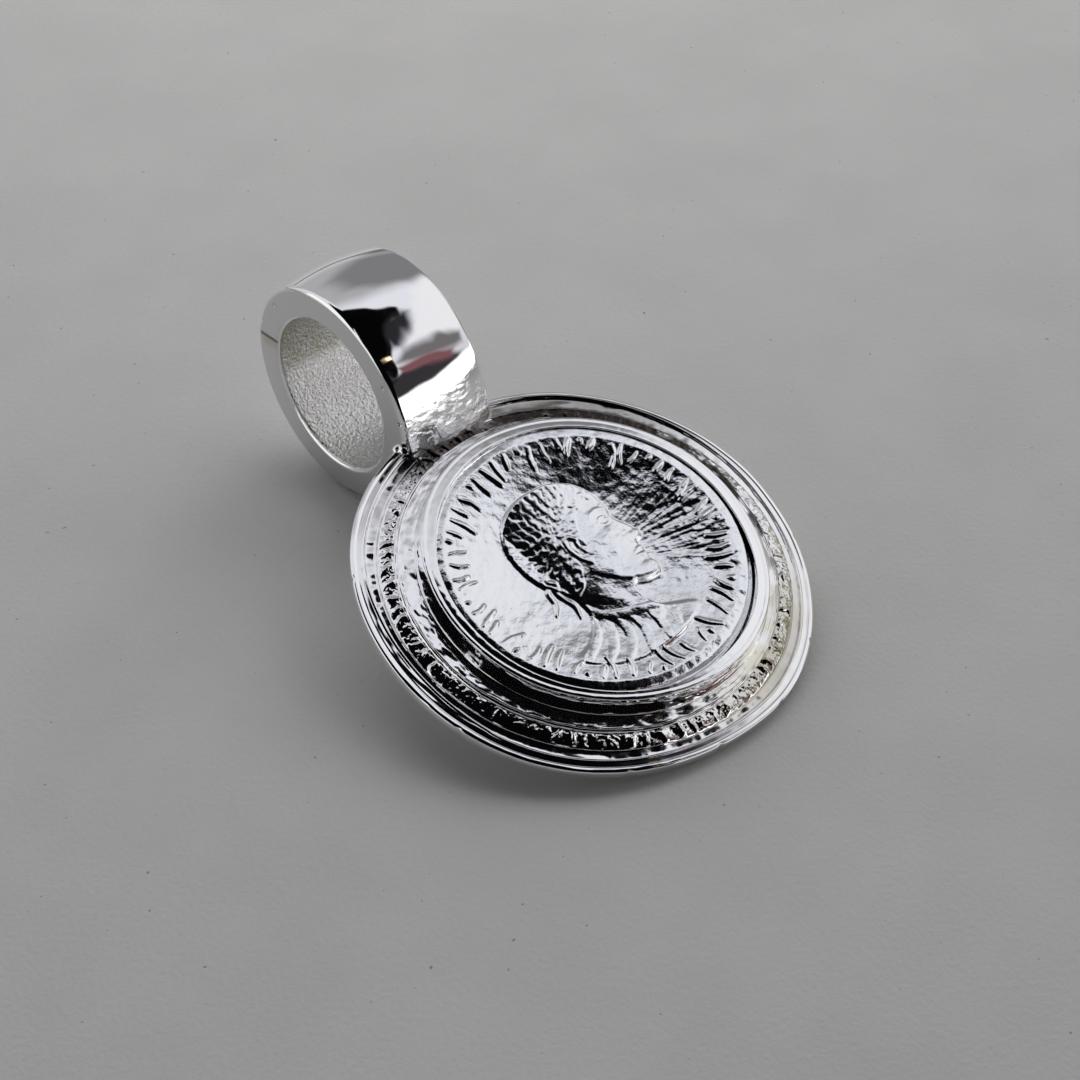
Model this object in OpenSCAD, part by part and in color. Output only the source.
// Coin pendant: a worn coin in a stepped bezel frame, with a wide ring bail.
// Millimetres. The pendant lies face up, on the frame's low edge and on the bail.
// +Z is up, +Y points to the bail, and the bail's bore runs along X.

/* [Coin] */
// Diameter of the coin
coin_d = 18.3; // [15:0.1:26]
// Thickness of the coin from its back to its field
coin_thickness = 1.4; // [1.1:0.05:2.4]
// Width of the sloping edge of the coin's face
coin_bevel_w = 0.87; // [0.5:0.01:1.2]
// Height that the sloping edge loses towards the rim
coin_bevel_drop = 0.5; // [0.3:0.05:0.8]
// Height of the bust over the field
bust_h = 0.5; // [0.2:0.05:0.8]
// Height of the head from chin to crown
head_h = 8.2; // [6:0.1:9]
// Distance of the middle of the head above the middle of the coin
head_rise = 1.2; // [0.6:0.1:1.8]
// Radial length of the raised strokes round the field
stroke_l = 1.2; // [0.6:0.1:1.6]
// Height of the raised strokes
stroke_h = 0.16; // [0.08:0.01:0.3]
// Number of raised strokes in a full ring
stroke_count = 36; // [24:1:48]

/* [Bezel] */
// Gap between the coin and the metal round it
coin_gap = 0.1; // [0.05:0.01:0.2]
// Wall of the bezel cup at its foot
bezel_wall = 0.6; // [0.5:0.05:1.2]
// Amount that the lip reaches in over the cup's wall
lip_reach = 0.28; // [0.22:0.01:0.45]
// Height of the lip's top over the coin's field
lip_proud = 0.22; // [0.1:0.01:0.5]
// Amount that the lip's top slopes down to its inner edge
lip_fall = 0.08; // [0:0.01:0.1]
// Amount that the cup narrows from its foot to its lip
bezel_draft = 0.14; // [0:0.01:0.25]
// Rounding of the lip's outer edge
lip_round = 0.12; // [0.05:0.01:0.15]
// Height of the cup's floor over the rim
seat_h = 0.15; // [0:0.05:0.3]

/* [Frame rings, from the bezel outwards] */
// Width of the ledge at the bezel's foot
ledge_w = 0.8; // [0.4:0.05:1.5]
// Height of the ledge over the rim
ledge_h = 0.45; // [0.35:0.05:0.7]
// Width of the thin bead outside the ledge
bead_w = 0.2; // [0.15:0.01:0.4]
// Height of the bead over the ledge
bead_h = 0.08; // [0.04:0.01:0.2]
// Width of the ribbed band
band_w = 0.9; // [0.6:0.05:1.6]
// Height of the ribbed band's floor over the rim
band_h = 0.12; // [0.05:0.01:0.2]
// Number of ribs across the band
rib_count = 84; // [48:1:100]
// Width of a rib
rib_w = 0.5; // [0.25:0.01:0.55]
// Height of a rib over the band's floor
rib_h = 0.16; // [0.08:0.01:0.2]
// Width of the valley outside the ribbed band
valley_w = 0.43; // [0.3:0.01:0.8]
// Depth of the valley under its two edges
valley_depth = 0.22; // [0.1:0.01:0.35]
// Width of the thin ridge outside the valley
ridge_w = 0.2; // [0.15:0.01:0.4]
// Height of the ridge over the rim
ridge_h = 0.15; // [0.08:0.01:0.25]
// Width of the smooth gutter outside the ridge
gutter_w = 0.4; // [0.3:0.01:0.8]
// Depth of the gutter
gutter_depth = 0.12; // [0.05:0.01:0.25]
// Width of the flat edge outside the gutter
edge_w = 0.22; // [0.2:0.01:0.5]
// Thickness of the frame at its edge
edge_h = 0.65; // [0.5:0.05:1.2]
// Rounding of the frame's edge
edge_round = 0.15; // [0.05:0.01:0.18]

/* [Bail] */
// Diameter of the bail over its crown
bail_d = 14.1; // [12:0.1:18]
// Diameter of the bail's bore
bore_d = 9.6; // [6:0.1:10.5]
// Width of the bail
bail_w = 6.3; // [3:0.1:9]
// Amount that the band falls from its crown to its edges
crown_fall = 0.28; // [0.1:0.01:0.5]
// Chamfer of the bail's edges
bail_chamfer = 0.22; // [0.1:0.01:0.3]
// Depth that the bail is sunk into the frame's edge
bail_sink = 1.25; // [0.9:0.05:1.8]
// Height of the rim over the bail's axis
bail_drop = 1.2; // [0.4:0.1:2]
// Radius of the solder fillets at the bail's foot
solder_r = 0.8; // [0.4:0.05:1.2]

/* [Hidden] */
$fn = 96;

// Radii of the frame's rings, each from the one inside it
coin_r = coin_d / 2;
cup_r = coin_r + coin_gap;
wall_r = cup_r + bezel_wall;
ledge_r = wall_r + ledge_w;
bead_r = ledge_r + bead_w;
band_r = bead_r + band_w;
valley_r = band_r + valley_w;
ridge_r = valley_r + ridge_w;
gutter_r = ridge_r + gutter_w;
frame_r = gutter_r + edge_w;

// Heights over the rim's top
coin_back_z = seat_h + coin_gap;
field_z = coin_back_z + coin_thickness;
lip_r = cup_r - lip_reach;
lip_z = field_z + lip_proud;

// Gap between the ribs' ends and the valley
rib_end = 0.05;

// Place of the bail's axis, and the bail's section
bail_r = bail_d / 2;
bail_y = frame_r - bail_sink + bail_r;
bail_z = -bail_drop;
crown_w = bail_w - 2 * bail_chamfer;
crown_steps = 12;
past = 1;

// The pendant lies on its low edge and on the bail, so the tilt follows from their sizes
low_y = -(frame_r - edge_round);
low_z = -(edge_h - edge_round);
lean_l = norm([bail_y - low_y, bail_z - low_z]);
rest_tilt = asin((bail_r - edge_round) / lean_l) - atan2(bail_z - low_z, bail_y - low_y);
rest_z = edge_round - (low_y * sin(rest_tilt) + low_z * cos(rest_tilt));
front_y = min([for (z = [low_z, -edge_round]) low_y * cos(rest_tilt) - z * sin(rest_tilt)]) - edge_round;
back_y = bail_y * cos(rest_tilt) - bail_z * sin(rest_tilt) + bail_r;
rest_y = -(front_y + back_y) / 2;

// The coin's mesh: spokes go round, rings go in from the edge
spokes = 3 * stroke_count;
stroke_out = coin_r - coin_bevel_w - 0.2;
stroke_in = stroke_out - stroke_l;
inner_rings = 19;
bust_edge = 0.12;
stroke_end = 0.1;

// Outline of the bust facing +X, as shares of the head's height from the middle of the head
BUST = [
    // x, y
    [0.13, -0.50], [0.24, -0.50], [0.315, -0.465], [0.335, -0.40], [0.30, -0.335],
    [0.335, -0.285], [0.315, -0.262], [0.345, -0.23], [0.335, -0.185], [0.43, -0.16],
    [0.445, -0.125], [0.39, -0.02], [0.335, 0.08], [0.36, 0.13], [0.355, 0.22],
    [0.32, 0.31], [0.30, 0.38], [0.21, 0.455], [0.08, 0.495], [-0.08, 0.50],
    [-0.24, 0.455], [-0.37, 0.36], [-0.45, 0.22], [-0.465, 0.06], [-0.43, -0.10],
    [-0.36, -0.22], [-0.29, -0.32], [-0.27, -0.44], [-0.30, -0.58], [-0.42, -0.68],
    [-0.60, -0.76], [-0.50, -0.88], [-0.26, -0.95], [0.02, -0.96], [0.26, -0.90],
    [0.34, -0.82], [0.20, -0.70], [0.10, -0.60]
];

// Forms on the bust, as shares of the head's height, and their height as a share of the bust's
FORMS = [
    // x, y, half length, half width, turn, height
    [0.14, -0.20, 0.20, 0.15, -35, 0.22],
    [0.27, 0.15, 0.12, 0.06, -20, 0.30],
    [0.25, 0.04, 0.09, 0.06, 0, -0.35],
    [0.34, -0.10, 0.10, 0.06, 65, 0.30],
    [0.27, -0.42, 0.08, 0.07, 0, 0.25],
    [0.27, -0.26, 0.08, 0.05, 0, 0.20],
    [-0.02, -0.04, 0.06, 0.10, -12, 0.35],
    [0.00, -0.50, 0.18, 0.08, 70, 0.20],
    [-0.20, -0.80, 0.34, 0.08, 10, 0.35],
    [0.02, -0.84, 0.30, 0.07, -25, 0.35]
];

// Hair: it covers the skull behind a line from the temple to the nape, in rows of locks
hair_h = 0.18;
lock_rows = 4;
lock_turns = 14;

function bow(r0, z0, r1, z1, rise, steps = 6) = [
    for (i = [0 : steps]) let (t = i / steps)
        [r0 + (r1 - r0) * t, z0 + (z1 - z0) * t + rise * 4 * t * (1 - t)]
];

function arc(cx, cy, r, from, to, steps = 6) = [
    for (i = [0 : steps]) let (a = from + (to - from) * i / steps) [cx + r * cos(a), cy + r * sin(a)]
];

function clamp(v) = max(0, min(1, v));

function smooth(v) = let (t = clamp(v)) t * t * (3 - 2 * t);

function segment_dist(p, a, b) = let (d = b - a) norm(p - a - d * clamp((p - a) * d / (d * d)));

function edge_dist(p, loop) = min([
    for (i = [0 : len(loop) - 1]) segment_dist(p, loop[i], loop[(i + 1) % len(loop)])
]);

function crossings(p, loop) = [
    for (i = [0 : len(loop) - 1])
        let (a = loop[i], b = loop[(i + 1) % len(loop)])
        if ((a[1] > p[1]) != (b[1] > p[1]))
            if (p[0] < (b[0] - a[0]) * (p[1] - a[1]) / (b[1] - a[1]) + a[0]) 1
];

function depth_in(p, loop) = len(crossings(p, loop)) % 2 == 1 ? edge_dist(p, loop) : 0;

function form(p, f) =
    let (
        dx = p[0] - f[0],
        dy = p[1] - f[1],
        u = (dx * cos(f[4]) + dy * sin(f[4])) / f[2],
        v = (dy * cos(f[4]) - dx * sin(f[4])) / f[3],
        q = 1 - u * u - v * v
    )
    q > 0 ? f[5] * q : 0;

function sum(list, i = 0) = i < len(list) ? list[i] + sum(list, i + 1) : 0;

function hair(p) =
    let (
        q = p - [-0.05, 0.02],
        r = norm(q),
        a = atan2(q[1], q[0]),
        covered = clamp((r - 0.2) / 0.06) * clamp(min(a - 35, 1) + (a < -125 ? 200 : 0))
    )
    covered * (1 + 0.5 * cos(360 * lock_rows * r / 0.5 + 60 * sin(lock_turns * a)));

function bust_height(p) =
    let (rise = smooth(depth_in(p, BUST) / bust_edge))
    rise > 0 ? bust_h * rise * (0.65 + sum([for (f = FORMS) form(p, f)]) + hair_h * hair(p)) : 0;

// Height of the coin's face at a radius and a spoke's number
function stroke_height(r, i) = i % 3 == 0 && r <= stroke_out && r >= stroke_in ? stroke_h : 0;

function face_z(r, i) =
    let (
        a = 360 * i / spokes,
        p = [r * cos(a), r * sin(a) - head_rise] / head_h,
        bevel = clamp((r - (coin_r - coin_bevel_w)) / coin_bevel_w),
        bust = r < stroke_out ? bust_height(p) : 0
    )
    field_z - coin_bevel_drop * bevel * bevel + max(bust, stroke_height(r, i));

// Radii of the coin's rings, from the edge inwards
EDGE_RINGS = [
    coin_r, coin_r - coin_bevel_w / 3, coin_r - coin_bevel_w * 2 / 3, coin_r - coin_bevel_w,
    stroke_out + stroke_end, stroke_out, stroke_in, stroke_in - stroke_end
];
field_r = stroke_in - stroke_end;
FACE_RINGS = concat(
    EDGE_RINGS,
    [for (i = [1 : inner_rings]) field_r * (1 - i / (inner_rings + 1))]
);

// Places a piece from the frame's own axes as the pendant lies
module at_rest() {
    translate([0, rest_y, rest_z]) rotate([rest_tilt, 0, 0]) children();
}

// Half section of the frame: back, edge, rings, bezel, lip and cup
module frame_section() {
    lip_under = field_z - coin_bevel_drop + coin_gap;
    lip_out = wall_r - bezel_draft;
    polygon(concat(
        [[0, seat_h], [0, -edge_h]],
        arc(frame_r - edge_round, edge_round - edge_h, edge_round, -90, 0),
        arc(frame_r - edge_round, -edge_round, edge_round, 0, 90),
        bow(gutter_r, 0, ridge_r, 0, -gutter_depth),
        bow(ridge_r, 0, valley_r, 0, ridge_h, 5),
        bow(valley_r, 0, band_r, band_h / 2, -valley_depth),
        [[band_r, band_h], [bead_r, band_h]],
        bow(bead_r, ledge_h, ledge_r, ledge_h, bead_h, 4),
        [[wall_r, ledge_h]],
        arc(lip_out - lip_round, lip_z - lip_round, lip_round, 0, 90, 4),
        [[lip_r, lip_z - lip_fall], [lip_r, lip_under + lip_reach / 2], [cup_r, lip_under]],
        [[cup_r, seat_h]]
    ));
}

// Radial ribs across the band, as the teeth of one ring whose root is inside the ledge
module ribs() {
    pitch = 360 / rib_count;
    root_r = bead_r - bead_w;
    tip_r = band_r - rib_end;
    half_root = asin(rib_w / 2 / root_r);
    half_tip = asin(rib_w / 2 / tip_r);
    teeth = [
        for (i = [0 : rib_count - 1])
            each [
                root_r * [cos(pitch * i - half_root), sin(pitch * i - half_root)],
                tip_r * [cos(pitch * i - half_tip), sin(pitch * i - half_tip)],
                tip_r * [cos(pitch * i + half_tip), sin(pitch * i + half_tip)],
                root_r * [cos(pitch * i + half_root), sin(pitch * i + half_root)]
            ]
    ];
    linear_extrude(band_h + rib_h) difference() {
        polygon(teeth);
        circle(r = root_r - bead_w);
    }
}

// Half section of the bail's band, as radius and place along the axis
module band_section() {
    outer = [
        for (i = [0 : crown_steps]) let (s = 2 * i / crown_steps - 1)
            [bail_r - crown_fall * s * s, crown_w / 2 * s]
    ];
    edge = bail_r - crown_fall - bail_chamfer;
    polygon(concat([[0, -bail_w / 2], [edge, -bail_w / 2]], outer, [[edge, bail_w / 2], [0, bail_w / 2]]));
}

module bail() {
    translate([0, bail_y, bail_z]) rotate([0, 90, 0]) difference() {
        rotate_extrude() band_section();
        cylinder(d = bore_d, h = bail_w + 2 * past, center = true);
        for (side = [0, 1]) mirror([0, 0, side])
            translate([0, 0, bail_w / 2 - bail_chamfer])
                cylinder(r1 = bore_d / 2, r2 = bore_d / 2 + 2 * bail_chamfer, h = 2 * bail_chamfer);
    }
}

// Solder along the bail's foot, in the corner between the bail and a flat face at height z
module solder(z, side) {
    fillet_z = z + side * solder_r;
    fillet_y = bail_y - sqrt(pow(bail_r + solder_r, 2) - pow(fillet_z - bail_z, 2));
    toward = atan2(bail_z - fillet_z, bail_y - fillet_y);
    foot_w = crown_w - bail_chamfer;
    curve = arc(fillet_y, fillet_z, solder_r, -90 * side, toward, 8);
    sunk = [curve[len(curve) - 1] + [solder_r, 0], [fillet_y + 2 * solder_r, z - side * edge_h / 2]];
    translate([-foot_w / 2, 0, 0]) rotate([90, 0, 90]) linear_extrude(foot_w)
        polygon(concat([[fillet_y, z - side * edge_h / 2]], curve, sunk));
}

module setting_and_bail() {
    color("silver") at_rest() {
        rotate_extrude() frame_section();
        ribs();
        bail();
        solder(0, 1);
        solder(-edge_h, -1);
    }
}

// The coin is one closed mesh: back centre, back edge, rings of the face, face centre
module coin() {
    rings = len(FACE_RINGS);
    turn = [for (i = [0 : spokes - 1]) 360 * i / spokes];
    points = concat(
        [[0, 0, coin_back_z]],
        [for (a = turn) [coin_r * cos(a), coin_r * sin(a), coin_back_z]],
        [for (r = FACE_RINGS) for (i = [0 : spokes - 1]) [r * cos(turn[i]), r * sin(turn[i]), face_z(r, i)]],
        [[0, 0, face_z(0, 0)]]
    );
    top = len(points) - 1;
    faces = concat(
        [for (i = [0 : spokes - 1]) [0, 1 + i, 1 + (i + 1) % spokes]],
        [
            for (k = [0 : rings - 1]) for (i = [0 : spokes - 1])
                let (a = 1 + k * spokes, b = a + spokes, j = (i + 1) % spokes)
                each [[a + i, b + i, b + j], [a + i, b + j, a + j]]
        ],
        [for (i = [0 : spokes - 1]) [top - spokes + i, top, top - spokes + (i + 1) % spokes]]
    );
    color("gainsboro") at_rest() polyhedron(points, faces);
}

setting_and_bail();
coin();
